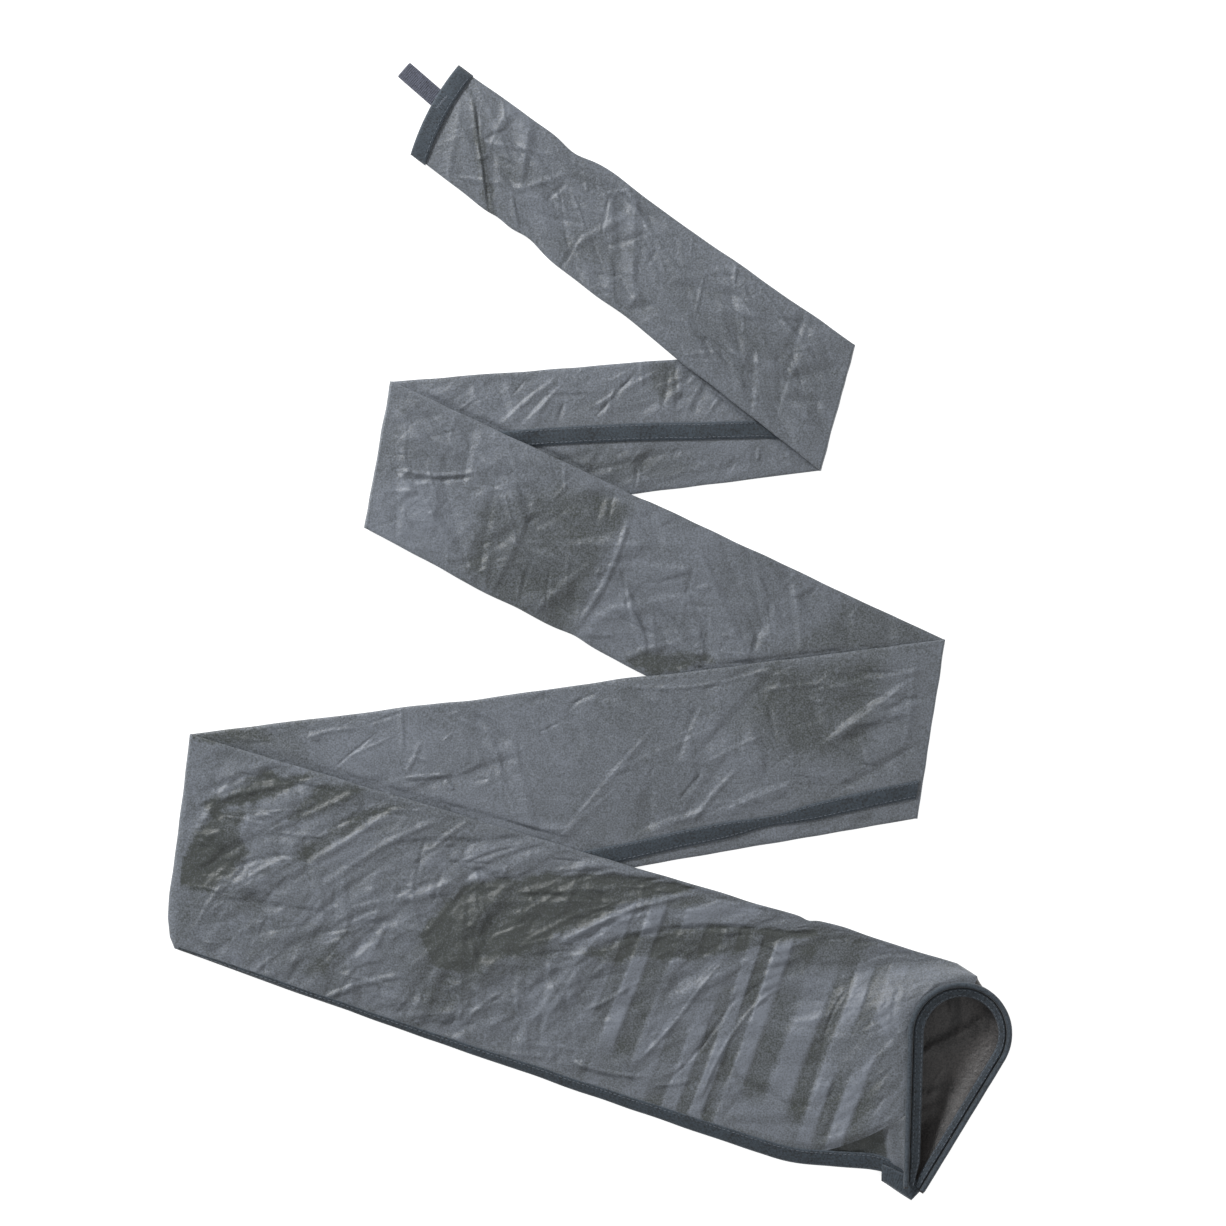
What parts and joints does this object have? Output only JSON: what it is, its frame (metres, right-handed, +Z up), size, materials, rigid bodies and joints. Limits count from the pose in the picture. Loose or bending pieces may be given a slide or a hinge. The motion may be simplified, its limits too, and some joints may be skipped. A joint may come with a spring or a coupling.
{
  "type": "tapered hammock storage sleeve",
  "caption": "Long tapered fabric sleeve that slides over a rolled hammock or tarp, with a sprung hoop mouth and a pull loop, lying flat and folded in a zigzag",
  "frame": {"origin": "on the floor under the middle of the folded sleeve's plan", "axes": "+Z up from the floor, +Y from the hooped mouth towards the narrow end, +X across the zigzag"},
  "size_m": [0.5474, 0.7452, 0.0227],
  "materials": {
    "sleeve_fabric": "thin coated plain weave, satin, crinkled",
    "binding_tape": "woven polyester binding, matte",
    "loop_webbing": "ribbed polyester webbing, matte",
    "thread": "polyester sewing thread",
    "hoop_rod": "natural spring plastic"
  },
  "bodies": {
    "section_2": {"sleeve_2_lower": "sleeve_fabric", "sleeve_2_upper": "sleeve_fabric", "seam_tape_2": "binding_tape"},
    "section_1": {"sleeve_1_lower": "sleeve_fabric", "sleeve_1_upper": "sleeve_fabric", "seam_tape_1": "binding_tape", "narrow_end_binding": "binding_tape", "loop_bartack": "thread"},
    "section_3": {"sleeve_3_lower": "sleeve_fabric", "sleeve_3_upper": "sleeve_fabric", "seam_tape_3": "binding_tape"},
    "section_4": {"sleeve_4_lower": "sleeve_fabric", "sleeve_4_upper": "sleeve_fabric", "seam_tape_4": "binding_tape"},
    "section_5": {"sleeve_5_lower": "sleeve_fabric", "sleeve_5_upper": "sleeve_fabric", "seam_tape_5": "binding_tape", "hoop_rod": "hoop_rod", "mouth_binding": "binding_tape", "mouth_tab": "binding_tape"},
    "pull_loop": {"pull_loop": "loop_webbing"}
  },
  "joints": [
    {"name": "fold_1", "type": "hinge", "parent": "section_2", "child": "section_1", "pos_m": [0.15566, 0.14839, 0.00385], "axis": [0.2643, 0.9644, 0], "range_deg": [0, 180]},
    {"name": "fold_2", "type": "hinge", "parent": "section_2", "child": "section_3", "pos_m": [-0.1422, 0.1179, 0.00385], "axis": [-0.1783, -0.984, 0], "range_deg": [0, 180]},
    {"name": "fold_3", "type": "hinge", "parent": "section_3", "child": "section_4", "pos_m": [0.21612, -0.06006, 0.00385], "axis": [0.1552, 0.9879, 0], "range_deg": [0, 180]},
    {"name": "fold_4", "type": "hinge", "parent": "section_4", "child": "section_5", "pos_m": [-0.2694, -0.1329, 0.00385], "axis": [-0.0763, -0.9971, 0], "range_deg": [0, 180]},
    {"name": "loop_swing", "type": "hinge", "parent": "section_1", "child": "pull_loop", "pos_m": [-0.10514, 0.35019, 0.00255], "axis": [0.6561, 0.7547, 0], "range_deg": [0, 90]}
  ]
}
